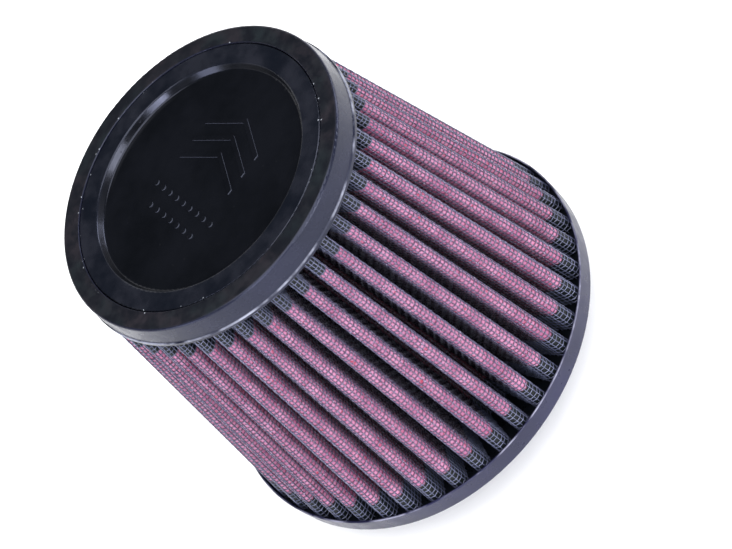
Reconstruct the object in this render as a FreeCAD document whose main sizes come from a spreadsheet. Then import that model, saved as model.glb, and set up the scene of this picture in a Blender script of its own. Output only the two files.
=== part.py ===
import FreeCAD, Part
import math
import os

import Sketcher

# Round tapered clamp-on air filter, in millimetres. +Z runs along the filter's axis from the end
# face of the inlet neck (z = 0) up to the closed cap. The origin is the centre of that end face.

SIZES = {
    # Inlet neck and base moulding
    "neck_length": 20.0,
    "neck_bore_radius": 35.0,
    "neck_wall": 3.5,
    "bead_height": 0.6,
    "bead_width": 1.6,
    "base_foot_radius": 62.1,
    "base_rim_radius": 62.6,
    "base_thickness": 6.8,
    "base_floor": 3.5,
    "foot_round": 0.8,
    "rim_round": 0.3,
    "inlet_round": 2.0,
    "hub_radius": 42.0,
    "hub_height": 7.0,
    # Pleated media: each fold is a round crest outside and a tight round valley inside
    "pleat_count": 44,
    "media_height": 97.7,
    "crest_reach_base": 61.9,
    "crest_reach_top": 48.4,
    "crest_radius_base": 2.6,
    "crest_radius_top": 1.9,
    "valley_centre_base": 47.0,
    "valley_centre_top": 34.0,
    "valley_radius_base": 0.54,
    "valley_radius_top": 0.35,
    "screen_thickness": 0.36,
    "ply_thickness": 0.12,
    "layer_gap": 0.1,
    # Metal strip over the fold where the two ends of the pleated pack meet
    "clip_thickness": 0.25,
    "clip_leg": 6.0,
    "clip_fold": 11,
    # Cap at the closed end
    "cap_height": 8.3,
    "cap_top_radius": 48.0,
    "cap_foot_radius": 48.6,
    "lip_radius": 49.0,
    "lip_height": 1.2,
    "lip_bevel": 0.3,
    "crown_round": 0.9,
    "fine_round": 0.3,
    "ledge_radius": 29.0,
    "ledge_thickness": 4.0,
    "seam_radius": 42.35,
    "seam_gap": 0.3,
    "plate_recess": 0.2,
    "step_radius": 36.0,
    "floor_radius": 34.8,
    "floor_depth": 2.2,
    "step_round": 0.7,
    # Raised mark on the cap: three chevrons over two rows of pips
    "mark_height": 0.35,
    "chevron_half_width": 13.0,
    "chevron_rise": 6.5,
    "chevron_stroke": 1.6,
    "chevron_pitch": 6.0,
    "mark_centre": 7.0,
    "pip_radius": 0.9,
    "pip_pitch": 3.6,
    "first_row": 8.6,
    "second_row": 14.6,
    "first_row_count": 9,
    "second_row_count": 7,
    # Worm-drive clamp on the neck
    "band_width": 12.7,
    "band_thickness": 0.7,
    "band_clearance": 0.1,
    "band_start": 4.0,
    "band_rise": 1.6,
    "tail_start": 300.0,
    "tail_end": 392.0,
    "slot_depth": 0.9,
    "slot_length": 7.5,
    "slot_width": 0.9,
    "slot_lean": 0.4,
    "cutter_rise": 3.0,
    "cutter_trim": 0.1,
    "slot_angle": 2.6,
    "slot_count": 9,
    "housing_length": 14.0,
    "housing_wall": 1.2,
    "housing_side": 1.35,
    "housing_lift": 0.5,
    "channel_rise": 1.8,
    "overcut": 1.0,
    "screw_offset": 5.15,
    "worm_radius": 3.9,
    "worm_core_radius": 3.2,
    "worm_pitch": 2.2,
    "worm_clearance": 0.35,
    "thread_root": 0.2,
    "thread_foot": 1.3,
    "thread_crest_start": 0.35,
    "thread_crest_end": 0.95,
    "thread_runout": 1.7,
    "shank_radius": 2.5,
    "shank_clearance": 0.06,
    "end_play": 0.3,
    "shank_tip": 0.9,
    "collar_radius": 4.6,
    "collar_length": 0.8,
    "head_radius": 4.58,
    "head_length": 5.0,
    "driver_slot": 1.2,
    "driver_depth": 1.7,
}

DOC = FreeCAD.newDocument("air_filter")
SHEET = DOC.addObject("Spreadsheet::Sheet", "Sizes")
ORIGIN_POINT = (-1, 1)
VERTICAL_AXIS = -2
HORIZONTAL_AXIS = -1
BEHIND = 90.0


def fill_sheet():
    """Write each driving size to a row: its name in column A and its aliased value in column B."""
    for row, (alias, size) in enumerate(SIZES.items(), start=1):
        SHEET.set(f"A{row}", alias)
        SHEET.set(f"B{row}", str(size))
        SHEET.setAlias(f"B{row}", alias)
    DOC.recompute()


def cells(expression):
    """Turn size names in an expression into references to the sheet."""
    words = []
    word = ""
    for letter in expression + " ":
        if letter.isalnum() or letter == "_":
            word += letter
            continue
        words.append(f"Sizes.{word}" if word in SIZES else word)
        words.append(letter)
        word = ""
    return "".join(words).strip()


def size(expression):
    """The number that an expression of sheet sizes gives."""
    result = SHEET.evalExpression(cells(expression))
    return float(getattr(result, "Value", result))


# Heights and radii that several pieces share
NECK_RADIUS = "(neck_bore_radius + neck_wall)"
BASE_TOP = "(neck_length + base_thickness)"
DISH_FLOOR = "(neck_length + base_floor)"
CAP_FOOT = f"({DISH_FLOOR} + media_height)"
CAP_TOP = f"({CAP_FOOT} + cap_height)"
SEAT = f"({CAP_FOOT} + ledge_thickness)"
PLATE_TOP = f"({CAP_TOP} - plate_recess)"
PLATE_FLOOR = f"({PLATE_TOP} - floor_depth)"
BAND_RADIUS = f"({NECK_RADIUS} + band_clearance + band_thickness / 2)"
BAND_MIDDLE = "(band_start + band_width / 2)"
SCREW_RADIUS = f"({BAND_RADIUS} + screw_offset)"


def new_body(name):
    """A PartDesign body whose label is the name of its node."""
    body = DOC.addObject("PartDesign::Body", name)
    body.Label = name
    return body


def origin_item(body, role):
    """The origin plane or axis of a body with the given role."""
    return next(item for item in body.Origin.OriginFeatures if item.Role == role)


def new_sketch(body, name, role, offset="0"):
    """A sketch on one of the body's origin planes, raised along its normal by an offset."""
    sketch = body.newObject("Sketcher::SketchObject", name)
    sketch.AttachmentSupport = [(origin_item(body, role), "")]
    sketch.MapMode = "FlatFace"
    sketch.AttachmentOffset = FreeCAD.Placement(FreeCAD.Vector(0, 0, size(offset)), FreeCAD.Rotation())
    sketch.setExpression("AttachmentOffset.Base.z", cells(offset))
    return sketch


def bind(sketch, kind, references, expression):
    """Add a dimension to a sketch and bind it to the sheet."""
    index = sketch.addConstraint(Sketcher.Constraint(kind, *references, size(expression)))
    sketch.setExpression(f"Constraints[{index}]", cells(expression))


def place_point(sketch, geometry, end, across, along):
    """Fix a point of a sketch at two expressions, measured from the sketch's origin."""
    if across == "0":
        sketch.addConstraint(Sketcher.Constraint("PointOnObject", geometry, end, VERTICAL_AXIS))
    else:
        bind(sketch, "DistanceX", (*ORIGIN_POINT, geometry, end), across)
    if along == "0":
        sketch.addConstraint(Sketcher.Constraint("PointOnObject", geometry, end, HORIZONTAL_AXIS))
    else:
        bind(sketch, "DistanceY", (*ORIGIN_POINT, geometry, end), along)


def join(sketch, first, second):
    """Tie the end of one curve to the start of the next."""
    sketch.addConstraint(Sketcher.Constraint("Coincident", first, 2, second, 1))


def polygon(sketch, corners):
    """Draw a closed polygon whose corners are pairs of expressions."""
    points = [FreeCAD.Vector(size(across), size(along), 0) for across, along in corners]
    ends = points[1:] + points[:1]
    lines = [sketch.addGeometry(Part.LineSegment(a, b), False) for a, b in zip(points, ends)]
    for line, following in zip(lines, lines[1:] + lines[:1]):
        join(sketch, line, following)
    for line, (across, along) in zip(lines, corners):
        place_point(sketch, line, 1, across, along)


def circle(sketch, across, along, radius):
    """Draw a circle at two expressions with a bound radius."""
    centre = FreeCAD.Vector(size(across), size(along), 0)
    ring = sketch.addGeometry(Part.Circle(centre, FreeCAD.Vector(0, 0, 1), size(radius)), False)
    place_point(sketch, ring, 3, across, along)
    bind(sketch, "Radius", (ring,), radius)


def turned(body, name, corners):
    """Revolve a polygon of radius and height pairs about the filter's axis."""
    sketch = new_sketch(body, f"{name}_profile", "XZ_Plane")
    polygon(sketch, corners)
    revolution = body.newObject("PartDesign::Revolution", name)
    revolution.Profile = sketch
    revolution.ReferenceAxis = (sketch, ["V_Axis"])
    revolution.Angle = 360
    DOC.recompute()
    return revolution


def padded(body, name, sketch, length, midplane=False):
    """Pad a sketch by an expression."""
    pad = body.newObject("PartDesign::Pad", name)
    pad.Profile = sketch
    pad.Midplane = midplane
    pad.setExpression("Length", cells(length))
    DOC.recompute()
    return pad


def pocketed(body, name, sketch, length, midplane=False, reverse=False):
    """Cut a sketch into a body by an expression, and check that it removes material."""
    before = body.Shape.Volume
    pocket = body.newObject("PartDesign::Pocket", name)
    pocket.Profile = sketch
    pocket.Midplane = midplane
    pocket.Reversed = reverse
    pocket.setExpression("Length", cells(length))
    DOC.recompute()
    if body.Shape.Volume >= before:
        raise RuntimeError(f"{name} cuts nothing")
    return pocket


def rounded(body, name, feature, radius, rings):
    """Fillet the circular edges of a feature found at the given (radius, height) pairs."""
    wanted = [(size(ring), size(height)) for ring, height in rings]
    edges = []
    for number, edge in enumerate(feature.Shape.Edges, start=1):
        if not isinstance(edge.Curve, Part.Circle):
            continue
        found = (edge.Curve.Radius, edge.Curve.Center.z)
        if any(math.dist(found, ring) < 0.01 for ring in wanted):
            edges.append(f"Edge{number}")
    if len(edges) < len(rings):
        raise RuntimeError(f"{name} misses an edge")
    fillet = body.newObject("PartDesign::Fillet", name)
    fillet.Base = (feature, edges)
    fillet.setExpression("Radius", cells(radius))
    DOC.recompute()
    return fillet


def around(body, name, features, count, angle="360"):
    """Repeat features about the filter's axis."""
    pattern = body.newObject("PartDesign::PolarPattern", name)
    if features:
        pattern.Originals = features
    else:
        pattern.TransformMode = "Whole shape"
    pattern.Axis = (origin_item(body, "Z_Axis"), [""])
    pattern.setExpression("Angle", cells(angle))
    pattern.setExpression("Occurrences", cells(count))
    body.Tip = pattern
    DOC.recompute()
    return pattern


def make_base_flange():
    """The rubber base: inlet neck with a retaining bead, and a dish that holds the pleats' wide ends."""
    body = new_body("base_flange")
    bead = f"{NECK_RADIUS} + bead_height"
    dish_wall = "crest_reach_base + layer_gap"
    hub_top = "neck_length + hub_height"
    shell = turned(body, "moulding", [
        ("neck_bore_radius", "0"),
        (bead, "0"),
        (bead, "bead_width"),
        (NECK_RADIUS, "bead_width + bead_height"),
        (NECK_RADIUS, "neck_length"),
        ("base_foot_radius", "neck_length"),
        ("base_rim_radius", BASE_TOP),
        (dish_wall, BASE_TOP),
        (dish_wall, DISH_FLOOR),
        ("hub_radius", DISH_FLOOR),
        ("hub_radius", hub_top),
        ("neck_bore_radius", hub_top),
    ])
    foot = rounded(body, "foot_round", shell, "foot_round", [("base_foot_radius", "neck_length")])
    rim = rounded(body, "rim_round", foot, "rim_round", [("base_rim_radius", BASE_TOP)])
    inlet = [("neck_bore_radius", hub_top), (NECK_RADIUS, "neck_length")]
    rounded(body, "inlet_rounds", rim, "inlet_round", inlet)


def make_cap_rim():
    """The moulded ring that closes the pleats' narrow ends, with a fine lip round its foot."""
    body = new_body("cap_rim")
    lip_top = f"{CAP_FOOT} + lip_height"
    ring = turned(body, "moulding", [
        ("ledge_radius", CAP_FOOT),
        ("lip_radius", CAP_FOOT),
        ("lip_radius", lip_top),
        ("cap_foot_radius", f"{lip_top} + lip_bevel"),
        ("cap_top_radius", CAP_TOP),
        ("seam_radius", CAP_TOP),
        ("seam_radius", SEAT),
        ("ledge_radius", SEAT),
    ])
    crown = rounded(body, "crown_round", ring, "crown_round", [("cap_top_radius", CAP_TOP)])
    rounded(body, "fine_rounds", crown, "fine_round", [("seam_radius", CAP_TOP), ("lip_radius", CAP_FOOT)])


def chevron(sketch, foot):
    """One chevron that points along the sketch's +Y, with its feet at the given height."""
    top = f"{foot} + chevron_rise"
    polygon(sketch, [
        ("-chevron_half_width", foot),
        ("0", top),
        ("chevron_half_width", foot),
        ("chevron_half_width", f"{foot} + chevron_stroke"),
        ("0", f"{top} + chevron_stroke"),
        ("-chevron_half_width", f"{foot} + chevron_stroke"),
    ])


def make_cap_plate():
    """The end disc inside the rim: a flat ring, a rounded step and a sunk floor with a raised mark."""
    body = new_body("cap_plate")
    edge = "(seam_radius - seam_gap)"
    disc = turned(body, "disc", [
        ("0", SEAT),
        (edge, SEAT),
        (edge, PLATE_TOP),
        ("step_radius", PLATE_TOP),
        ("floor_radius", PLATE_FLOOR),
        ("0", PLATE_FLOOR),
    ])
    step = rounded(body, "step_rounds", disc, "step_round", [
        ("step_radius", PLATE_TOP),
        ("floor_radius", PLATE_FLOOR),
    ])
    rounded(body, "edge_round", step, "fine_round", [(edge, PLATE_TOP)])
    chevrons = new_sketch(body, "chevron_outline", "XY_Plane", PLATE_FLOOR)
    for row in range(3):
        chevron(chevrons, f"mark_centre + {row - 1} * chevron_pitch")
    padded(body, "chevrons", chevrons, "mark_height")
    pips = new_sketch(body, "pip_outline", "XY_Plane", PLATE_FLOOR)
    for row in ("first_row", "second_row"):
        count = int(size(f"{row}_count"))
        for column in range(count):
            offset = column - (count - 1) / 2
            across = f"{offset} * pip_pitch" if offset else "0"
            circle(pips, across, f"-{row}", "pip_radius")
    padded(body, "pips", pips, "mark_height")
    turn_about_axis(body, "-90")


def turn_about_axis(body, angle):
    """Turn a finished body about the filter's axis by an expression in degrees."""
    body.Placement = FreeCAD.Placement(
        FreeCAD.Vector(), FreeCAD.Rotation(FreeCAD.Vector(0, 0, 1), size(angle)))


def fold_outline(body, name, height, end, near, far):
    """Half a fold of one layer, from the crest's middle to the valley's middle.

    The layer lies between the depths near and far, measured from the outermost surface. The crest
    arc is centred on the X axis, the valley arc on the plane half a pleat away, and the straight
    flank is tangent to both.
    """
    sketch = new_sketch(body, name, "XY_Plane", height)
    half = math.pi / size("pleat_count")
    crest_radius = f"crest_radius_{end}"
    valley_radius = f"valley_radius_{end}"
    crest_centre = f"(crest_reach_{end} - crest_radius_{end})"
    crest = FreeCAD.Vector(size(crest_centre), 0, 0)
    valley = size(f"valley_centre_{end}") * FreeCAD.Vector(math.cos(half), math.sin(half), 0)
    across = valley - crest
    lean = math.acos((size(crest_radius) + size(valley_radius)) / across.Length)
    normal = math.atan2(across.y, across.x) - lean
    towards = FreeCAD.Vector(math.cos(normal), math.sin(normal), 0)
    up = FreeCAD.Vector(0, 0, 1)
    sides = []
    for depth in (near, far):
        outer = size(f"{crest_radius} - ({depth})")
        inner = size(f"{valley_radius} + {depth}")
        crest_arc = Part.ArcOfCircle(Part.Circle(crest, up, outer), 0, normal)
        flank = Part.LineSegment(crest + outer * towards, valley - inner * towards)
        bend = sorted((half + math.pi, normal + math.pi))
        valley_arc = Part.ArcOfCircle(Part.Circle(valley, up, inner), *bend)
        sides.append([sketch.addGeometry(item, False) for item in (crest_arc, flank, valley_arc)])
    (crest_near, flank_near, valley_near), (crest_far, flank_far, valley_far) = sides
    for crest_arc, flank, valley_arc in sides:
        sketch.addConstraint(Sketcher.Constraint("Tangent", crest_arc, 2, flank, 1))
        sketch.addConstraint(Sketcher.Constraint("Tangent", flank, 2, valley_arc, 2))
        sketch.addConstraint(Sketcher.Constraint("PointOnObject", crest_arc, 1, HORIZONTAL_AXIS))
    shape_points = [sketch.Geometry[crest_near].StartPoint, sketch.Geometry[crest_far].StartPoint]
    root = sketch.addGeometry(Part.LineSegment(*shape_points), False)
    shape_points = [sketch.Geometry[valley_near].StartPoint, sketch.Geometry[valley_far].StartPoint]
    tip = sketch.addGeometry(Part.LineSegment(*shape_points), False)
    for line, first, second in ((root, crest_near, crest_far), (tip, valley_near, valley_far)):
        sketch.addConstraint(Sketcher.Constraint("Coincident", line, 1, first, 1))
        sketch.addConstraint(Sketcher.Constraint("Coincident", line, 2, second, 1))
    sketch.addConstraint(Sketcher.Constraint("Coincident", crest_near, 3, crest_far, 3))
    sketch.addConstraint(Sketcher.Constraint("Coincident", valley_near, 3, valley_far, 3))
    sketch.addConstraint(Sketcher.Constraint("PointOnObject", crest_near, 3, HORIZONTAL_AXIS))
    sketch.addConstraint(Sketcher.Constraint("PointOnObject", valley_near, 3, tip))
    bind(sketch, "DistanceX", (*ORIGIN_POINT, crest_near, 3), crest_centre)
    half_pleat = "(180 deg / pleat_count)"
    bind(sketch, "DistanceX", (*ORIGIN_POINT, valley_near, 3), f"valley_centre_{end} * cos({half_pleat})")
    bind(sketch, "DistanceY", (*ORIGIN_POINT, valley_near, 3), f"valley_centre_{end} * sin({half_pleat})")
    bind(sketch, "Radius", (crest_near,), f"{crest_radius} - ({near})")
    bind(sketch, "Radius", (crest_far,), f"{crest_radius} - ({far})")
    bind(sketch, "Radius", (valley_near,), f"{valley_radius} + {near}")
    bind(sketch, "Radius", (valley_far,), f"{valley_radius} + {far}")
    sketch.addConstraint(Sketcher.Constraint("PointOnObject", *ORIGIN_POINT, tip))
    return sketch


def make_layer(name, near, far):
    """One pleated layer: half a fold lofted from base to top, mirrored and repeated round the axis."""
    body = new_body(name)
    base = fold_outline(body, f"{name}_base", DISH_FLOOR, "base", near, far)
    top = fold_outline(body, f"{name}_top", CAP_FOOT, "top", near, far)
    half_fold = body.newObject("PartDesign::AdditiveLoft", f"{name}_half_fold")
    half_fold.Profile = base
    half_fold.Sections = [top]
    half_fold.Ruled = True
    DOC.recompute()
    fold = body.newObject("PartDesign::Mirrored", f"{name}_fold")
    fold.Originals = [half_fold]
    fold.MirrorPlane = (origin_item(body, "XZ_Plane"), [""])
    body.Tip = fold
    DOC.recompute()
    around(body, f"{name}_pleats", [], "pleat_count")


def media_layers():
    """Names and depths of the pleated layers, from the outer screen to the inner one."""
    kinds = [("outer_screen", "screen_thickness")]
    kinds += [(f"gauze_ply_{number}", "ply_thickness") for number in range(1, 5)]
    kinds += [("inner_screen", "screen_thickness")]
    near = "0"
    layers = []
    for name, thickness in kinds:
        far = f"{near} + {thickness}"
        layers.append((name, near, far))
        near = f"{far} + layer_gap"
    return layers


def clip_outline(body, name, height, end, near, far):
    """The clip's U section round the inner side of one fold, opening outwards along +X."""
    sketch = new_sketch(body, name, "XY_Plane", height)
    centre = FreeCAD.Vector(size(f"valley_centre_{end}"), 0, 0)
    spread = math.pi / size("pleat_count")
    up = FreeCAD.Vector(0, 0, 1)
    arcs = []
    legs = []
    for depth in (near, far):
        radius = size(f"valley_radius_{end} + {depth}")
        bend = Part.ArcOfCircle(Part.Circle(centre, up, radius), math.pi / 2 + spread, 1.5 * math.pi - spread)
        arcs.append(sketch.addGeometry(bend, False))
        for side in (1, -1):
            foot = bend.StartPoint if side == 1 else bend.EndPoint
            tip = foot + size("clip_leg") * FreeCAD.Vector(math.cos(spread), side * math.sin(spread), 0)
            legs.append(sketch.addGeometry(Part.LineSegment(foot, tip), False))
    near_left, near_right, far_left, far_right = legs
    for arc, left, right in ((arcs[0], near_left, near_right), (arcs[1], far_left, far_right)):
        sketch.addConstraint(Sketcher.Constraint("Tangent", arc, 1, left, 1))
        sketch.addConstraint(Sketcher.Constraint("Tangent", arc, 2, right, 1))
    for inner, outer in ((near_left, far_left), (near_right, far_right)):
        ends = [sketch.Geometry[inner].EndPoint, sketch.Geometry[outer].EndPoint]
        closing = sketch.addGeometry(Part.LineSegment(*ends), False)
        sketch.addConstraint(Sketcher.Constraint("Coincident", closing, 1, inner, 2))
        sketch.addConstraint(Sketcher.Constraint("Coincident", closing, 2, outer, 2))
        sketch.addConstraint(Sketcher.Constraint("Perpendicular", closing, inner))
        sketch.addConstraint(Sketcher.Constraint("Parallel", inner, outer))
    sketch.addConstraint(Sketcher.Constraint("Coincident", arcs[0], 3, arcs[1], 3))
    place_point(sketch, arcs[0], 3, f"valley_centre_{end}", "0")
    bind(sketch, "Radius", (arcs[0],), f"valley_radius_{end} + {near}")
    bind(sketch, "Radius", (arcs[1],), f"valley_radius_{end} + {far}")
    for leg, sign in ((near_left, ""), (near_right, "-")):
        bind(sketch, "Distance", (leg,), "clip_leg")
        bind(sketch, "Angle", (leg,), f"{sign}(180 deg / pleat_count)")
    return sketch


def make_seam_clip():
    """The folded strip that closes the pleated pack, over one inner fold at the back."""
    body = new_body("seam_clip")
    near = f"{media_layers()[-1][2]} + layer_gap"
    far = f"{near} + clip_thickness"
    base = clip_outline(body, "clip_base", DISH_FLOOR, "base", near, far)
    top = clip_outline(body, "clip_top", CAP_FOOT, "top", near, far)
    strip = body.newObject("PartDesign::AdditiveLoft", "strip")
    strip.Profile = base
    strip.Sections = [top]
    strip.Ruled = True
    DOC.recompute()
    turn_about_axis(body, "(clip_fold + 0.5) * 360 / pleat_count")


def make_clamp_band():
    """The clamp's strip: once round the neck, then a tail that rises over its own start."""
    body = new_body("clamp_band")
    sketch = new_sketch(body, "band_outline", "XY_Plane", "band_start")
    leave = math.radians(size("tail_start"))
    finish = math.radians(size("tail_end"))
    shift = -size("band_rise") * FreeCAD.Vector(math.cos(leave), math.sin(leave), 0)
    up = FreeCAD.Vector(0, 0, 1)
    rings = []
    for side in (-1, 1):
        edge = f"{BAND_RADIUS} + {side} * band_thickness / 2"
        ring = Part.ArcOfCircle(Part.Circle(FreeCAD.Vector(), up, size(edge)), 0, leave)
        tail_circle = Part.Circle(shift, up, size(f"{edge} + band_rise"))
        tail = Part.ArcOfCircle(tail_circle, leave, finish)
        ring = sketch.addGeometry(ring, False)
        tail = sketch.addGeometry(tail, False)
        sketch.addConstraint(Sketcher.Constraint("Coincident", ring, 3, *ORIGIN_POINT))
        sketch.addConstraint(Sketcher.Constraint("Tangent", ring, 2, tail, 1))
        sketch.addConstraint(Sketcher.Constraint("PointOnObject", ring, 1, HORIZONTAL_AXIS))
        bind(sketch, "Radius", (ring,), edge)
        bind(sketch, "Radius", (tail,), f"{edge} + band_rise")
        rings.append((ring, tail))
    (ring_in, tail_in), (ring_out, tail_out) = rings
    for inner, outer, end in ((ring_in, ring_out, 1), (tail_in, tail_out, 2)):
        point = "StartPoint" if end == 1 else "EndPoint"
        ends = [getattr(sketch.Geometry[item], point) for item in (inner, outer)]
        closing = sketch.addGeometry(Part.LineSegment(*ends), False)
        sketch.addConstraint(Sketcher.Constraint("Coincident", closing, 1, inner, end))
        sketch.addConstraint(Sketcher.Constraint("Coincident", closing, 2, outer, end))
    padded(body, "strip", sketch, "band_width")
    slot = new_sketch(body, "slot_outline", "YZ_Plane", f"{BAND_RADIUS} + cutter_rise")
    half_slot = "slot_length / 2"
    polygon(slot, [
        ("-slot_width / 2 + slot_lean", f"{BAND_MIDDLE} - {half_slot}"),
        ("slot_width / 2 + slot_lean", f"{BAND_MIDDLE} - {half_slot}"),
        ("slot_width / 2 - slot_lean", f"{BAND_MIDDLE} + {half_slot}"),
        ("-slot_width / 2 - slot_lean", f"{BAND_MIDDLE} + {half_slot}"),
    ])
    cut = pocketed(body, "slot", slot, "cutter_rise - band_thickness / 2 + slot_depth - cutter_trim")
    around(body, "slots", [cut], "slot_count", "slot_angle * slot_count")
    turn_about_axis(body, str(BEHIND))


def make_clamp_housing():
    """The clamp's housing: a folded saddle over the band with a tunnel for the worm."""
    body = new_body("clamp_housing")
    roof = f"{SCREW_RADIUS} + worm_radius + worm_clearance + housing_wall"
    foot = f"{NECK_RADIUS} + housing_lift"
    low = f"{BAND_MIDDLE} - band_width / 2 - housing_side"
    high = f"{BAND_MIDDLE} + band_width / 2 + housing_side"
    outline = new_sketch(body, "housing_outline", "XZ_Plane")
    polygon(outline, [(foot, low), (roof, low), (roof, high), (foot, high)])
    block = padded(body, "block", outline, "housing_length", midplane=True)
    edges = [
        f"Edge{number}" for number, edge in enumerate(block.Shape.Edges, start=1)
        if edge.BoundBox.XMin > size(roof) - 0.01 and edge.BoundBox.YLength > size("housing_length") - 0.1
    ]
    bend = body.newObject("PartDesign::Fillet", "roof_bends")
    bend.Base = (block, edges)
    bend.setExpression("Radius", cells("2 * housing_wall"))
    DOC.recompute()
    channel = new_sketch(body, "channel_outline", "XZ_Plane")
    ceiling = f"{BAND_RADIUS} + channel_rise"
    polygon(channel, [
        (f"{foot} - overcut", "band_start"),
        (ceiling, "band_start"),
        (ceiling, "band_start + band_width"),
        (f"{foot} - overcut", "band_start + band_width"),
    ])
    pocketed(body, "channel", channel, "housing_length + overcut", midplane=True)
    tunnel = new_sketch(body, "tunnel_outline", "XZ_Plane")
    circle(tunnel, SCREW_RADIUS, BAND_MIDDLE, "worm_radius + worm_clearance")
    pocketed(body, "tunnel", tunnel, "housing_length - 2 * housing_wall", midplane=True)
    journal = new_sketch(body, "journal_outline", "XZ_Plane")
    circle(journal, SCREW_RADIUS, BAND_MIDDLE, "shank_radius + shank_clearance")
    pocketed(body, "journals", journal, "housing_length + overcut", midplane=True)
    turn_about_axis(body, str(BEHIND))


def make_clamp_screw():
    """The worm screw, drawn along its own axis: worm, two journals, collar and slotted hex head."""
    body = new_body("clamp_screw")
    half_housing = "housing_length / 2"
    inside = f"{half_housing} - housing_wall - end_play"
    collar = f"{half_housing} + end_play"
    head = f"{collar} + collar_length"
    end = f"{head} + head_length"
    turned(body, "core", [
        ("0", f"-({half_housing} + shank_tip)"),
        ("shank_radius", f"-({half_housing} + shank_tip)"),
        ("shank_radius", f"-({inside})"),
        ("worm_core_radius", f"-({inside})"),
        ("worm_core_radius", inside),
        ("shank_radius", inside),
        ("shank_radius", collar),
        ("collar_radius", collar),
        ("collar_radius", head),
        ("0", head),
    ])
    thread = new_sketch(body, "thread_section", "XZ_Plane")
    start = f"-({inside}) + thread_root"
    polygon(thread, [
        ("worm_core_radius - thread_root", start),
        ("worm_core_radius - thread_root", f"{start} + thread_foot"),
        ("worm_radius", f"{start} + thread_crest_end"),
        ("worm_radius", f"{start} + thread_crest_start"),
    ])
    helix = body.newObject("PartDesign::AdditiveHelix", "worm")
    helix.Profile = thread
    helix.ReferenceAxis = (thread, ["V_Axis"])
    helix.Mode = "pitch-height-angle"
    helix.setExpression("Pitch", cells("worm_pitch"))
    helix.setExpression("Height", cells(f"2 * ({inside}) - thread_runout"))
    DOC.recompute()
    hexagon = new_sketch(body, "head_outline", "XY_Plane", head)
    corners = []
    for corner in range(6):
        angle = f"{60 * corner} deg"
        corners.append((f"head_radius * cos({angle})", f"head_radius * sin({angle})" if corner % 3 else "0"))
    polygon(hexagon, corners)
    padded(body, "head", hexagon, "head_length")
    slot = new_sketch(body, "driver_outline", "XY_Plane", end)
    polygon(slot, [
        ("-(head_radius + overcut)", "-driver_slot / 2"),
        ("head_radius + overcut", "-driver_slot / 2"),
        ("head_radius + overcut", "driver_slot / 2"),
        ("-(head_radius + overcut)", "driver_slot / 2"),
    ])
    pocketed(body, "driver_slot_cut", slot, "driver_depth")
    lay_along_tangent(body)


def lay_along_tangent(body):
    """Lay the screw on the clamp's tangent line behind the neck, at the middle of the band."""
    lay = FreeCAD.Rotation(FreeCAD.Vector(1, 0, 0), 90)
    out = FreeCAD.Placement(FreeCAD.Vector(size(SCREW_RADIUS), 0, size(BAND_MIDDLE)), lay)
    turn = FreeCAD.Placement(FreeCAD.Vector(), FreeCAD.Rotation(FreeCAD.Vector(0, 0, 1), BEHIND))
    body.Placement = turn.multiply(out)


def check_document():
    """Stop when any object failed to recompute, or a body has no single valid solid."""
    DOC.recompute()
    for item in DOC.Objects:
        if "Invalid" in item.State or "Error" in item.State:
            raise RuntimeError(f"{item.Name} failed: {item.State}")
    for body in DOC.findObjects("PartDesign::Body"):
        if body.Shape.isNull() or not body.Shape.isValid():
            raise RuntimeError(f"{body.Label} has no valid shape")
        if len(body.Shape.Solids) != 1:
            raise RuntimeError(f"{body.Label} is {len(body.Shape.Solids)} solids")


def write_parts():
    """Write each body to parts/ under its own name."""
    os.makedirs("parts", exist_ok=True)
    for body in DOC.findObjects("PartDesign::Body"):
        body.Shape.exportStep(os.path.join("parts", f"{body.Label}.step"))
        print(f"{body.Label}: {body.Shape.Volume:.0f} mm3")


fill_sheet()
make_base_flange()
make_cap_rim()
make_cap_plate()
make_seam_clip()
make_clamp_band()
make_clamp_housing()
make_clamp_screw()
for layer in media_layers():
    make_layer(*layer)
check_document()
write_parts()
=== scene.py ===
import math

import bpy
import numpy as np
from mathutils import Matrix, Vector


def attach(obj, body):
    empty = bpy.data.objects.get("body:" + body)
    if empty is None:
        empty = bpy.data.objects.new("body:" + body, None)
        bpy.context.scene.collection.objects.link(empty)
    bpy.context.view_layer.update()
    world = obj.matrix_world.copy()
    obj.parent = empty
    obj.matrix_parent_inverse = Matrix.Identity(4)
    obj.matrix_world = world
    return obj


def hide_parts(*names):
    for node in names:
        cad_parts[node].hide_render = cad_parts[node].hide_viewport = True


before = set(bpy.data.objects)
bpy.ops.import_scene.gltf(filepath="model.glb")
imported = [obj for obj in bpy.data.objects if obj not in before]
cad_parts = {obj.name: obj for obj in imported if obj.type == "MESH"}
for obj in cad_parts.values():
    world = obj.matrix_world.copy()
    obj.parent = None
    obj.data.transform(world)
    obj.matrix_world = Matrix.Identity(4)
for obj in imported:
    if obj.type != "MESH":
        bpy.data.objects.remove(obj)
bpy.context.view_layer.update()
RNG = np.random.default_rng(7)
MM = 0.001

# Pleats, as the CAD has them: base value first, top value second
PLEATS = 44
CREST_RADIUS = np.array([2.6, 1.9]) * MM
VALLEY_RADIUS = np.array([0.54, 0.35]) * MM
VALLEY_CENTRE = np.array([47.0, 34.0]) * MM
SCREEN_DEPTH = 0.225 * MM
PLY_DEPTH = 0.46 * MM
INNER_DEPTH = 1.56 * MM

# Woven screen: wires along the pleats and wires across them
WARPS_PER_PLEAT = 23
WEFTS = 62
WIRE_RADIUS = 0.15 * MM
WIRE_CRIMP = 0.075 * MM
WARP_SWAY = 0.05
WEFT_DRIFT = 0.07
OUTER_SIDES = 4
INNER_SIDES = 3
SCREEN_PIECES = 3
INWARD_STEP = 0.1 * MM
SAME_HEIGHT = 0.01 * MM

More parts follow.
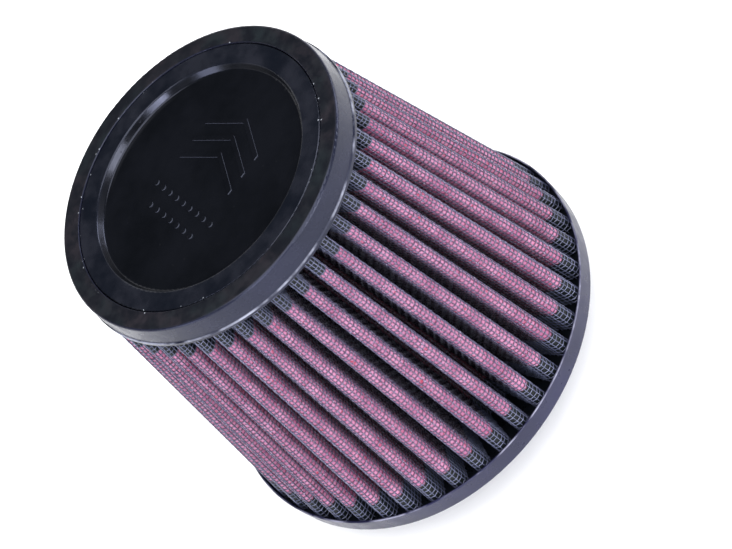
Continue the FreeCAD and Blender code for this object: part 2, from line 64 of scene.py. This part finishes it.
# Soft cushion of gauze in each opening: its height, the spread of it and the limits of that spread
GAUZE_BULGE = 0.17 * MM
BULGE_SPREAD = 0.25
BULGE_LIMITS = (0.4, 1.6)
GAUZE_PIECES = 2

# Seam and step of the cap's disc, the lip of its rim, the cool tint of reflections in black rubber,
# and the grey of the painted glints on bubbles along the seam
SEAM_RADIUS = 42.2 * MM
STEP_RADIUS = 36.0 * MM
LIP_RADIUS = 49.0 * MM
LIP_TOP = 122.4 * MM
COOL_TINT = (0.72, 0.76, 1.0, 1.0)
GLINT_GREY = (0.30, 0.32, 0.36)

# Lengths of pleat soaked by the end mouldings
SOAKED_TOP = 7.0 * MM
SOAKED_BASE = 9.7 * MM


# ---------------------------------------------------------------- geometry helpers

def node_points(name):
    """A CAD node's vertices as an array."""
    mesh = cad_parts[name].data
    flat = np.empty(len(mesh.vertices) * 3, np.float32)
    mesh.vertices.foreach_get("co", flat)
    return flat.reshape(-1, 3).astype(float)


def mesh_object(name, points, faces):
    """A smooth mesh piece made from arrays of points and equal-sided faces, riding on the filter."""
    mesh = bpy.data.meshes.new(name)
    sides = faces.shape[1]
    mesh.vertices.add(len(points))
    mesh.vertices.foreach_set("co", points.astype(np.float32).ravel())
    mesh.loops.add(faces.size)
    mesh.loops.foreach_set("vertex_index", faces.astype(np.int32).ravel())
    mesh.polygons.add(len(faces))
    mesh.polygons.foreach_set("loop_start", np.arange(0, faces.size, sides, dtype=np.int32))
    mesh.polygons.foreach_set("use_smooth", np.full(len(faces), True))
    mesh.update(calc_edges=True)
    mesh.validate()
    piece = bpy.data.objects.new(name, mesh)
    bpy.context.scene.collection.objects.link(piece)
    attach(piece, "filter")
    return piece


def media_ends():
    """Heights of the pleats' ends and the radii their crests reach there."""
    points = node_points("outer_screen")
    low, high = points[:, 2].min(), points[:, 2].max()
    radius = np.hypot(points[:, 0], points[:, 1])
    reach = [radius[np.abs(points[:, 2] - height) < SAME_HEIGHT].max() for height in (low, high)]
    return np.array([low, high]), np.array(reach)


MEDIA_Z, CREST_REACH = media_ends()


def half_fold(end, along, depth):
    """Points of half a fold in the plane of one end: crest arc, straight flank, valley arc.

    along runs from 0 at the crest's middle to 1 at the valley's middle, and depth is measured
    inwards from the outermost surface.
    """
    half = math.pi / PLEATS
    crest = np.array([CREST_REACH[end] - CREST_RADIUS[end], 0.0])
    valley = VALLEY_CENTRE[end] * np.array([math.cos(half), math.sin(half)])
    across = valley - crest
    lean = math.acos((CREST_RADIUS[end] + VALLEY_RADIUS[end]) / np.hypot(*across))
    normal = math.atan2(across[1], across[0]) - lean
    outward = np.array([math.cos(normal), math.sin(normal)])
    arc = CREST_RADIUS.mean() * normal
    bend = VALLEY_RADIUS.mean() * normal + SCREEN_DEPTH
    flank = np.hypot(*across) * math.sin(lean)
    total = arc + flank + bend
    first, second = arc / total, (arc + flank) / total
    outer = (CREST_RADIUS[end] - depth)[..., None]
    inner = (VALLEY_RADIUS[end] + depth)[..., None]
    turn = np.clip(along / first, 0, 1) * normal
    on_crest = crest + outer * np.stack([np.cos(turn), np.sin(turn)], -1)
    slide = np.clip((along - first) / (second - first), 0, 1)[..., None]
    on_flank = (1 - slide) * (crest + outer * outward) + slide * (valley - inner * outward)
    turn = normal + np.clip((along - second) / (1 - second), 0, 1) * (half - normal)
    on_valley = valley - inner * np.stack([np.cos(turn), np.sin(turn)], -1)
    where = along[..., None]
    return np.where(where < first, on_crest, np.where(where < second, on_flank, on_valley))


def fold_surface(turns, rise, depth):
    """Points of the pleated surface. turns counts pleats round the axis, rise is 0 to 1 in height."""
    turns, rise, depth = np.broadcast_arrays(turns, rise, np.asarray(depth, float))
    number = np.floor(turns + 0.5)
    offset = turns - number
    along = np.abs(offset) * 2
    base, top = (half_fold(end, along, depth) for end in (0, 1))
    flat = (1 - rise[..., None]) * base + rise[..., None] * top
    flat[..., 1] *= np.sign(offset)
    angle = number * 2 * math.pi / PLEATS
    x = flat[..., 0] * np.cos(angle) - flat[..., 1] * np.sin(angle)
    y = flat[..., 0] * np.sin(angle) + flat[..., 1] * np.cos(angle)
    z = MEDIA_Z[0] + rise * (MEDIA_Z[1] - MEDIA_Z[0])
    return np.stack([x, y, z], -1)


def unit(vectors):
    return vectors / np.maximum(np.linalg.norm(vectors, axis=-1, keepdims=True), 1e-12)


def tubes(centres, outward, radius, sides, closed):
    """Tubes round rows of centre points: points and quad faces for all rows together."""
    rows, count = centres.shape[:2]
    if closed:
        along = unit(np.roll(centres, -1, 1) - np.roll(centres, 1, 1))
    else:
        along = unit(np.gradient(centres, axis=1))
    aside = unit(np.cross(along, outward))
    upward = np.cross(aside, along)
    turn = np.arange(sides) * 2 * math.pi / sides
    ring = upward[:, :, None] * np.cos(turn)[:, None] + aside[:, :, None] * np.sin(turn)[:, None]
    points = (centres[:, :, None] + radius * ring).reshape(-1, 3)
    row = np.arange(rows)[:, None, None] * count * sides
    step = np.arange(count if closed else count - 1)[None, :, None]
    side = np.arange(sides)[None, None, :]
    here, there = step * sides, (step + 1) % count * sides
    nxt = (side + 1) % sides
    faces = np.stack([row + here + side, row + here + nxt, row + there + nxt, row + there + side], -1)
    return points, faces.reshape(-1, 4)


def woven_screen(prefix, node, depth, sides):
    """A pleated screen of separate wires: each one passes over and under the wires it crosses."""
    warps = PLEATS * WARPS_PER_PLEAT
    warp = np.arange(warps)
    weft = np.arange(WEFTS)
    turns = (warp + 0.5) / WARPS_PER_PLEAT
    rise = (weft + 0.5) / WEFTS
    crossing = (-1.0) ** (warp[:, None] + weft[None, :])
    pieces = []
    sway = WARP_SWAY * RNG.standard_normal((warps, 1)) / WARPS_PER_PLEAT
    for part, rows in enumerate(np.array_split(warp, SCREEN_PIECES)):
        over = np.pad(crossing[rows], ((0, 0), (1, 1)), mode="edge") * WIRE_CRIMP
        heights = np.concatenate([[0.0], rise, [1.0]])[None, :]
        where = turns[rows][:, None] + sway[rows]
        centres = fold_surface(where, heights, depth - over)
        outward = unit(centres - fold_surface(where, heights, depth - over + INWARD_STEP))
        points, faces = tubes(centres, outward, WIRE_RADIUS, sides, closed=False)
        pieces.append(mesh_object(f"{prefix}_warp_{part + 1}", points, faces))
    for part, rows in enumerate(np.array_split(weft, SCREEN_PIECES)):
        over = -crossing[:, rows].T * WIRE_CRIMP
        drift = WEFT_DRIFT * RNG.standard_normal((len(rows), 1)) / WEFTS
        heights = rise[rows][:, None] + drift
        centres = fold_surface(turns[None, :], heights, depth - over)
        outward = unit(centres - fold_surface(turns[None, :], heights, depth - over + INWARD_STEP))
        points, faces = tubes(centres, outward, WIRE_RADIUS, sides, closed=True)
        pieces.append(mesh_object(f"{prefix}_weft_{part + 1}", points, faces))
    for piece in pieces:
        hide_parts(node)
    return pieces


def gauze_skin():
    """The outermost gauze ply, pressed between the wires so that each opening holds a soft cushion."""
    warps = PLEATS * WARPS_PER_PLEAT
    heights = np.concatenate([[0.0], (np.arange(WEFTS) + 0.5) / WEFTS, [1.0]])
    corner_turns = (np.arange(warps) + 0.5) / WARPS_PER_PLEAT
    corners = fold_surface(corner_turns[:, None], heights[None, :], PLY_DEPTH)
    middle_heights = (heights[1:] + heights[:-1]) / 2
    uneven = 1 + BULGE_SPREAD * RNG.standard_normal((warps, len(middle_heights)))
    puff = GAUZE_BULGE * uneven.clip(*BULGE_LIMITS)
    middle_turns = corner_turns + 0.5 / WARPS_PER_PLEAT
    middles = fold_surface(middle_turns[:, None], middle_heights[None, :], PLY_DEPTH - puff)
    pieces = []
    columns = len(heights)
    for part, rows in enumerate(np.array_split(np.arange(warps), GAUZE_PIECES)):
        used = np.append(rows, (rows[-1] + 1) % warps)
        points = np.concatenate([corners[used].reshape(-1, 3), middles[rows].reshape(-1, 3)])
        first = np.arange(len(rows))[:, None] * columns + np.arange(columns - 1)[None, :]
        centre = len(used) * columns + np.arange(len(rows) * (columns - 1)).reshape(len(rows), -1)
        around = [first, first + columns, first + columns + 1, first + 1]
        faces = [np.stack([around[k], around[(k + 1) % 4], centre], -1).reshape(-1, 3) for k in range(4)]
        piece = mesh_object(f"gauze_ply_1_{part + 1}", points, np.concatenate(faces))
        lift = np.zeros(len(points), np.float32)
        lift[len(used) * columns:] = 1
        piece.data.attributes.new("lift", "FLOAT", "POINT").data.foreach_set("value", lift)
        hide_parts("gauze_ply_1")
        pieces.append(piece)
    return pieces


# ---------------------------------------------------------------- material helpers

class Shade:
    """A node material: a Principled surface and short calls for the nodes that feed it."""

    def __init__(self, name):
        self.material = bpy.data.materials.new(name)
        self.material.use_nodes = True
        self.tree = self.material.node_tree
        self.surface = next(n for n in self.tree.nodes if n.type == "BSDF_PRINCIPLED")
        self.place = self.add("ShaderNodeTexCoord").outputs["Object"]

    def add(self, kind, **settings):
        node = self.tree.nodes.new(kind)
        for key, value in settings.items():
            setattr(node, key, value)
        return node

    def wire(self, value, socket):
        """Link an output to a socket, or set a plain value on it."""
        if isinstance(value, bpy.types.NodeSocket):
            self.tree.links.new(value, socket)
        else:
            socket.default_value = value

    def set(self, **values):
        for key, value in values.items():
            self.wire(value, self.surface.inputs[key.replace("_", " ")])

    def math(self, operation, first, second=0.0):
        node = self.add("ShaderNodeMath", operation=operation)
        self.wire(first, node.inputs[0])
        self.wire(second, node.inputs[1])
        return node.outputs[0]

    def noise(self, scale, detail=2.0, roughness=0.5, stretch=None):
        node = self.add("ShaderNodeTexNoise")
        node.inputs["Scale"].default_value = scale
        node.inputs["Detail"].default_value = detail
        node.inputs["Roughness"].default_value = roughness
        source = self.place
        if stretch:
            mapping = self.add("ShaderNodeMapping")
            mapping.inputs["Scale"].default_value = stretch
            self.wire(source, mapping.inputs["Vector"])
            source = mapping.outputs[0]
        self.wire(source, node.inputs["Vector"])
        return node.outputs["Fac"]

    def spots(self, scale, size):
        """A mask of scattered round spots."""
        node = self.add("ShaderNodeTexVoronoi")
        node.inputs["Scale"].default_value = scale
        self.wire(self.place, node.inputs["Vector"])
        return self.fade(node.outputs["Distance"], size, size * 0.6)

    def fade(self, value, low, high):
        """0 at low and 1 at high, smooth between them."""
        node = self.add("ShaderNodeMapRange", interpolation_type="SMOOTHSTEP")
        self.wire(value, node.inputs["Value"])
        flip = low > high
        node.inputs["From Min"].default_value = min(low, high)
        node.inputs["From Max"].default_value = max(low, high)
        node.inputs["To Min"].default_value = 1.0 if flip else 0.0
        node.inputs["To Max"].default_value = 0.0 if flip else 1.0
        return node.outputs["Result"]

    def spread(self, value, low, high):
        """A 0 to 1 value spread linearly over another range."""
        node = self.add("ShaderNodeMapRange")
        self.wire(value, node.inputs["Value"])
        node.inputs["To Min"].default_value = low
        node.inputs["To Max"].default_value = high
        return node.outputs["Result"]

    def blend(self, factor, first, second):
        node = self.add("ShaderNodeMix", data_type="RGBA")
        self.wire(factor, node.inputs["Factor"])
        for value, name in ((first, "A"), (second, "B")):
            socket = [s for s in node.inputs if s.name == name and s.type == "RGBA"][0]
            self.wire(value if isinstance(value, bpy.types.NodeSocket) else (*value, 1.0), socket)
        return [s for s in node.outputs if s.type == "RGBA"][0]

    def mix(self, factor, first, second):
        """Two plain values blended by a factor."""
        node = self.add("ShaderNodeMix", data_type="FLOAT")
        self.wire(factor, node.inputs["Factor"])
        self.wire(first, node.inputs["A"])
        self.wire(second, node.inputs["B"])
        return node.outputs[0]

    def split(self, vector=None):
        node = self.add("ShaderNodeSeparateXYZ")
        self.wire(vector or self.place, node.inputs[0])
        return node.outputs

    def facing_up(self):
        """How far the surface's own normal points along +Z."""
        return self.split(self.add("ShaderNodeNewGeometry").outputs["Normal"])[2]

    def bump(self, height, depth, strength=1.0, after=None):
        node = self.add("ShaderNodeBump")
        node.inputs["Distance"].default_value = depth
        node.inputs["Strength"].default_value = strength
        self.wire(height, node.inputs["Height"])
        if after:
            self.wire(after, node.inputs["Normal"])
        self.set(Normal=node.outputs[0])
        return node.outputs[0]


def off_axis(shade):
    """Distance from the filter's axis."""
    x, y = (shade.math("POWER", axis, 2) for axis in list(shade.split())[:2])
    return shade.math("SQRT", shade.math("ADD", x, y))


def valley_shade_mask(shade):
    """0 on the crests, rising to 1 deep in the valleys: the mask for painted shade in the valleys."""
    slope = (CREST_REACH[1] - CREST_REACH[0]) / (MEDIA_Z[1] - MEDIA_Z[0])
    climb = shade.math("MULTIPLY", shade.math("SUBTRACT", shade.split()[2], MEDIA_Z[0]), slope)
    depth = shade.math("SUBTRACT", shade.math("ADD", climb, CREST_REACH[0]), off_axis(shade))
    return shade.fade(depth, 1.4 * MM, 5.5 * MM)


def soaked_mask(shade):
    """1 where the end mouldings have soaked the pleats, with a ragged edge."""
    height = shade.split()[2]
    ragged = shade.math("ADD", height, shade.spread(shade.noise(420, 3), -0.9 * MM, 0.9 * MM))
    top_edge = MEDIA_Z[1] - SOAKED_TOP
    base_edge = MEDIA_Z[0] + SOAKED_BASE
    top = shade.fade(ragged, top_edge - 0.3 * MM, top_edge + 0.3 * MM)
    base = shade.fade(ragged, base_edge + 0.4 * MM, base_edge - 0.4 * MM)
    return shade.math("MAXIMUM", top, base)


def wire_material():
    """Black epoxy-coated wire, glossy and a little uneven, bare bright at a few knuckles; painted shade
    in valleys, painted glints where soaked.
    """
    shade = Shade("coated_wire")
    patch = shade.noise(900, 2)
    coat = shade.blend(patch, (0.030, 0.028, 0.058), (0.088, 0.080, 0.142))
    wear_and_highlight = shade.fade(shade.noise(2600, 2), 0.62, 0.70)
    bare = shade.blend(wear_and_highlight, coat, (0.42, 0.37, 0.48))
    # Painted shade deep in the valleys darkens the wires.
    valley_shaded = shade.blend(valley_shade_mask(shade), bare, (0.010, 0.008, 0.012))
    soaked = soaked_mask(shade)
    # A lighter lavender where the ends are soaked paints glints on the wires.
    soaked_glint_share = shade.math("MULTIPLY", soaked, 0.8)
    shade.set(Base_Color=shade.blend(soaked_glint_share, valley_shaded, (0.060, 0.068, 0.110)))
    gloss = shade.spread(shade.noise(1500, 2), 0.16, 0.38)
    shade.set(Roughness=shade.mix(soaked, gloss, shade.spread(shade.noise(1100, 2), 0.08, 0.2)))
    shade.set(Specular_IOR_Level=1.0, Specular_Tint=COOL_TINT)
    shade.bump(shade.noise(5000, 2), 0.02 * MM, 0.5)
    return shade.material


def gauze_material():
    """Cotton gauze wetted with red oil: pink threads, painted shade where it dips under the wires and in
    the valleys, black where the ends are soaked.
    """
    shade = Shade("oiled_cotton")
    patch = shade.noise(160, 3)
    thread = shade.noise(2400, 3, 0.6)
    lift = shade.add("ShaderNodeAttribute", attribute_name="lift").outputs["Fac"]
    pink = shade.blend(shade.fade(patch, 0.3, 0.7), (0.265, 0.075, 0.152), (0.385, 0.155, 0.255))
    # Painted shade where the gauze dips under the wires, pink on the cushions, broken up by thread
    # noise.
    proud = shade.math("ADD", lift, shade.spread(thread, -0.45, 0.45))
    cell_shaded = shade.blend(shade.fade(proud, 0.0, 0.62), (0.085, 0.012, 0.034), pink)
    red = shade.blend(shade.fade(shade.noise(700, 2), 0.62, 0.74), cell_shaded, (0.28, 0.025, 0.055))
    # Painted shade deep in the valleys darkens the gauze.
    red = shade.blend(shade.math("MULTIPLY", valley_shade_mask(shade), 0.8), red, (0.022, 0.006, 0.006))
    soaked = soaked_mask(shade)
    shade.set(Base_Color=shade.blend(soaked, red, (0.0015, 0.003, 0.004)))
    dry = shade.spread(shade.noise(1800, 2), 0.34, 0.6)
    shade.set(Roughness=shade.mix(soaked, dry, shade.spread(shade.noise(1200, 2), 0.45, 0.6)))
    shade.set(Specular_IOR_Level=0.22)
    shade.bump(thread, 0.06 * MM, 0.8)
    return shade.material


def moulded_rubber(name, dark, light, rough, pits):
    """Black moulded rubber with cloudy bloom, faint flow marks and a few moulding pits."""
    shade = Shade(name)
    cloud = shade.noise(45, 4, 0.6)
    shade.colour = shade.blend(shade.fade(cloud, 0.3, 0.7), dark, light)
    shade.rough = shade.spread(shade.fade(shade.noise(260, 3), 0.3, 0.7), *rough)
    shade.set(Base_Color=shade.colour, Roughness=shade.rough)
    shade.set(Specular_IOR_Level=0.28, Specular_Tint=COOL_TINT)
    grain = shade.noise(3500, 2)
    soft = shade.bump(shade.noise(140, 2), 0.06 * MM, 0.5)
    fine = shade.bump(grain, 0.02 * MM, 0.35, soft)
    shade.bump(shade.spots(pits, 0.07), -0.05 * MM, 0.6, fine)
    return shade


def seam_bubble_glints(shade):
    """Painted glints on small bubbles in the rubber along the seam between the rim and the disc."""
    near = shade.math("ABSOLUTE", shade.math("SUBTRACT", off_axis(shade), SEAM_RADIUS))
    return shade.math("MULTIPLY", shade.fade(near, 1.1 * MM, 0.3 * MM), shade.spots(520, 0.15))


def edge_highlight_line(shade, height, radius):
    """A broken painted highlight line along an edge at a height and radius."""
    level = shade.math("ABSOLUTE", shade.math("SUBTRACT", shade.split()[2], height))
    reach = shade.math("ABSOLUTE", shade.math("SUBTRACT", off_axis(shade), radius))
    line = shade.math(
        "MULTIPLY", shade.fade(level, 0.38 * MM, 0.12 * MM), shade.fade(reach, 0.55 * MM, 0.25 * MM))
    return shade.math("MULTIPLY", line, shade.fade(shade.noise(110, 4), 0.40, 0.66))


def base_material():
    """The base: satin wall with a painted highlight line along its upper edge, and a dish between the
    pleats painted near-black as shade.
    """
    shade = moulded_rubber(
        "base_rubber_black", (0.007, 0.007, 0.022), (0.011, 0.011, 0.034), (0.26, 0.38), 300)
    points = node_points("base_flange")
    radius = np.hypot(points[:, 0], points[:, 1])
    rim = radius.max()
    wall = points[radius > rim - 1.0 * MM, 2].max()
    # The dish between the pleats is painted near-black as shade.
    dish_shade = shade.fade(off_axis(shade), rim - 0.55 * MM, rim - 0.75 * MM)
    dish_shade = shade.math("MULTIPLY", dish_shade, shade.fade(shade.split()[2], wall - 3.6 * MM, wall - 3.4 * MM))
    # A broken painted highlight line along the wall's upper edge.
    wear_and_highlight = shade.blend(edge_highlight_line(shade, wall, rim), shade.colour, (0.20, 0.20, 0.26))
    shade.set(Base_Color=shade.blend(dish_shade, wear_and_highlight, (0.0015, 0.002, 0.003)))
    return shade.material


def rim_material():
    """The cap's rim: mottled matte on top, satin on its side, a painted highlight line along its lip and
    painted glints along the seam.
    """
    shade = moulded_rubber(
        "cap_rim_rubber", (0.006, 0.007, 0.014), (0.010, 0.011, 0.022), (0.22, 0.34), 420)
    top = shade.fade(shade.facing_up(), 0.80, 0.97)
    mottle = shade.noise(210, 4, 0.65)
    patch = shade.fade(shade.noise(95, 2), 0.35, 0.65)
    tint = shade.blend(patch, (0.006, 0.009, 0.010), (0.012, 0.010, 0.012))
    matte = shade.blend(shade.fade(mottle, 0.35, 0.68), (0.0025, 0.003, 0.0045), tint)
    # Painted glints on bubbles along the seam.
    lit = shade.blend(seam_bubble_glints(shade), matte, GLINT_GREY)
    # A broken painted highlight line along the lip.
    side = shade.blend(edge_highlight_line(shade, LIP_TOP, LIP_RADIUS), shade.colour, (0.24, 0.25, 0.31))
    shade.set(Base_Color=shade.blend(top, side, lit))
    shade.set(Roughness=shade.mix(top, shade.rough, shade.spread(mottle, 0.36, 0.62)))
    return shade.material


def disc_material():
    """The cap's disc: nearly black floor, painted highlights on the sides of its marks, a greyer ring
    and painted glints on bubbles along its edge.
    """
    shade = moulded_rubber(
        "cap_disc_black", (0.0022, 0.0026, 0.0034), (0.0042, 0.0047, 0.0064), (0.14, 0.22), 260)
    reach = off_axis(shade)
    ring = shade.fade(reach, STEP_RADIUS - 0.5 * MM, STEP_RADIUS)
    cloud = shade.fade(shade.noise(120, 3), 0.3, 0.7)
    cloudy = shade.blend(cloud, (0.004, 0.005, 0.008), (0.012, 0.013, 0.018))
    floor = shade.blend(ring, shade.colour, cloudy)
    # Painted highlights on the side faces of the raised marks inside the step.
    inside = shade.fade(reach, STEP_RADIUS - 3.0 * MM, STEP_RADIUS - 4.0 * MM)
    mark_side_highlight = shade.math("MULTIPLY", inside, shade.fade(shade.facing_up(), 0.75, 0.2))
    with_side_highlights = shade.blend(mark_side_highlight, floor, (0.050, 0.054, 0.072))
    # Painted glints on bubbles along the seam.
    shade.set(Base_Color=shade.blend(seam_bubble_glints(shade), with_side_highlights, GLINT_GREY))
    return shade.material


def steel_material(name, tint, grain_stretch):
    """Rolled or plated steel with drawn grain, faint stains and brighter worn spots."""
    shade = Shade(name)
    grain = shade.noise(900, 4, 0.7, stretch=grain_stretch)
    stain = shade.fade(shade.noise(130, 3), 0.35, 0.75)
    shade.set(Metallic=1.0, Base_Color=shade.blend(stain, tint, tuple(0.72 * c for c in tint)))
    shade.set(Roughness=shade.spread(grain, 0.18, 0.45))
    shade.bump(grain, 0.02 * MM, 0.5)
    return shade.material


# ---------------------------------------------------------------- stage, light and camera

CAMERA_ELEVATION = math.radians(44.18)
CAMERA_ROLL = math.radians(-52.69)
CAMERA_LENS = 162.3
CAMERA_DISTANCE = 998.7 * MM
CAMERA_OFFSET = Vector((0.01512, 0.01977))
BASE_UNDERSIDE = 20.0 * MM
FLOOR_HALF = 12.0
FLOOR_DROP = 0.05 * MM

# A soft sun from above, then boxes: name, place, target, size, watts and colour
SUN_STRENGTH = 5.6
SUN_SPREAD = math.radians(75)
SUN_TILT = (math.radians(22), math.radians(4), 0)
SOFT_BOXES = (
    ("front_left", (-0.62, -1.15, 0.42), (0, 0, 0.08), (0.45, 0.3), 9, (0.90, 0.92, 1.0)),
    ("front_right", (0.65, -1.15, 0.50), (0, 0, 0.06), (0.6, 0.5), 11, (1, 1, 1)),
    ("left_box", (-1.1, -0.2, 0.40), (0, 0, 0.06), (0.4, 0.5), 4, (0.80, 0.84, 1.0)),
    ("right_box", (1.1, 0.15, 0.45), (0, 0, 0.06), (0.4, 0.5), 5, (0.85, 0.88, 1.0)),
)

# Height and colour of the bright horizon and of the dark sky
HORIZON = (0.08, (1.0, 1.0, 1.0, 1))
SKY = (0.30, (0.03, 0.033, 0.042, 1))


def make_camera():
    """The camera looks down on the cap, rolled so that the filter lies along the frame's diagonal."""
    data = bpy.data.cameras.new("camera")
    data.sensor_width = 36.0
    data.lens = CAMERA_LENS
    camera = bpy.data.objects.new("camera", data)
    forward = Vector((0, math.cos(CAMERA_ELEVATION), -math.sin(CAMERA_ELEVATION)))
    down = Vector((0, -math.sin(CAMERA_ELEVATION), -math.cos(CAMERA_ELEVATION)))
    right = Vector((1, 0, 0))
    image_right = math.cos(CAMERA_ROLL) * right - math.sin(CAMERA_ROLL) * down
    image_down = math.sin(CAMERA_ROLL) * right + math.cos(CAMERA_ROLL) * down
    target = Vector((0, 0, BASE_UNDERSIDE))
    shift = image_right * CAMERA_OFFSET[0] + image_down * CAMERA_OFFSET[1]
    centre = target - forward * CAMERA_DISTANCE - shift
    turn = Matrix((image_right, -image_down, -forward)).transposed().to_4x4()
    camera.matrix_world = Matrix.Translation(centre) @ turn
    data.clip_start, data.clip_end = 0.05, 20
    bpy.context.scene.collection.objects.link(camera)
    bpy.context.scene.camera = camera


def make_floor():
    """A plain pale floor under the neck."""
    corners = [(x * FLOOR_HALF, y * FLOOR_HALF, 0) for x, y in ((-1, -1), (1, -1), (1, 1), (-1, 1))]
    mesh = bpy.data.meshes.new("floor")
    mesh.from_pydata(corners, [], [(0, 1, 2, 3)])
    floor = bpy.data.objects.new("floor", mesh)
    floor.location.z = -FLOOR_DROP
    bpy.context.scene.collection.objects.link(floor)
    shade = Shade("floor_white")
    shade.set(Base_Color=shade.blend(shade.noise(3, 2), (0.90, 0.90, 0.90), (0.94, 0.94, 0.94)))
    shade.set(Roughness=0.9)
    mesh.materials.append(shade.material)


def area_light(name, place, target, size, power, colour):
    """A rectangular soft box at a place, facing a target."""
    data = bpy.data.lights.new(name, "AREA")
    data.shape = "RECTANGLE"
    data.size, data.size_y = size
    data.energy = power
    data.color = colour
    light = bpy.data.objects.new(name, data)
    light.location = place
    light.rotation_euler = (Vector(target) - Vector(place)).to_track_quat("-Z", "Y").to_euler()
    bpy.context.scene.collection.objects.link(light)


def make_light():
    """A bright horizon, a dark sky, a soft sun overhead and boxes in front and at both sides."""
    world = bpy.data.worlds.new("studio")
    bpy.context.scene.world = world
    world.use_nodes = True
    tree = world.node_tree
    background = next(n for n in tree.nodes if n.type == "BACKGROUND")
    place = tree.nodes.new("ShaderNodeTexCoord")
    split = tree.nodes.new("ShaderNodeSeparateXYZ")
    ramp = tree.nodes.new("ShaderNodeValToRGB")
    tree.links.new(place.outputs["Generated"], split.inputs[0])
    tree.links.new(split.outputs[2], ramp.inputs[0])
    tree.links.new(ramp.outputs[0], background.inputs[0])
    stops = ramp.color_ramp.elements
    stops[0].position, stops[0].color = HORIZON
    stops[1].position, stops[1].color = SKY
    background.inputs[1].default_value = 1.0
    sun = bpy.data.lights.new("overhead", "SUN")
    sun.energy = SUN_STRENGTH
    sun.angle = SUN_SPREAD
    overhead = bpy.data.objects.new("overhead", sun)
    overhead.rotation_euler = SUN_TILT
    bpy.context.scene.collection.objects.link(overhead)
    for box in SOFT_BOXES:
        area_light(*box)


# ---------------------------------------------------------------- assembly

def dress(name, material):
    """Give a CAD node its finished material."""
    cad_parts[name].material_slots[0].material = material


def build_filter():
    """The woven screens, the gauze and the materials of the carried-over nodes."""
    wire = wire_material()
    gauze = gauze_material()
    for piece in woven_screen("outer_screen", "outer_screen", SCREEN_DEPTH, OUTER_SIDES):
        piece.data.materials.append(wire)
    for piece in woven_screen("inner_screen", "inner_screen", INNER_DEPTH, INNER_SIDES):
        piece.data.materials.append(wire)
    for piece in gauze_skin():
        piece.data.materials.append(gauze)
    for number in (2, 3, 4):
        dress(f"gauze_ply_{number}", gauze)
    dress("base_flange", base_material())
    dress("cap_rim", rim_material())
    dress("cap_plate", disc_material())
    dress("clamp_band", steel_material("rolled_band", (0.28, 0.28, 0.30), (1, 1, 0.05)))
    dress("clamp_housing", steel_material("pressed_housing", (0.29, 0.29, 0.31), (0.1, 1, 1)))
    dress("clamp_screw", steel_material("plated_screw", (0.42, 0.40, 0.36), (0.1, 1, 1)))
    dress("seam_clip", steel_material("seam_aluminium", (0.55, 0.56, 0.58), (1, 1, 0.05)))


make_camera()
make_light()
make_floor()
build_filter()
bpy.context.scene.view_settings.view_transform = "Standard"
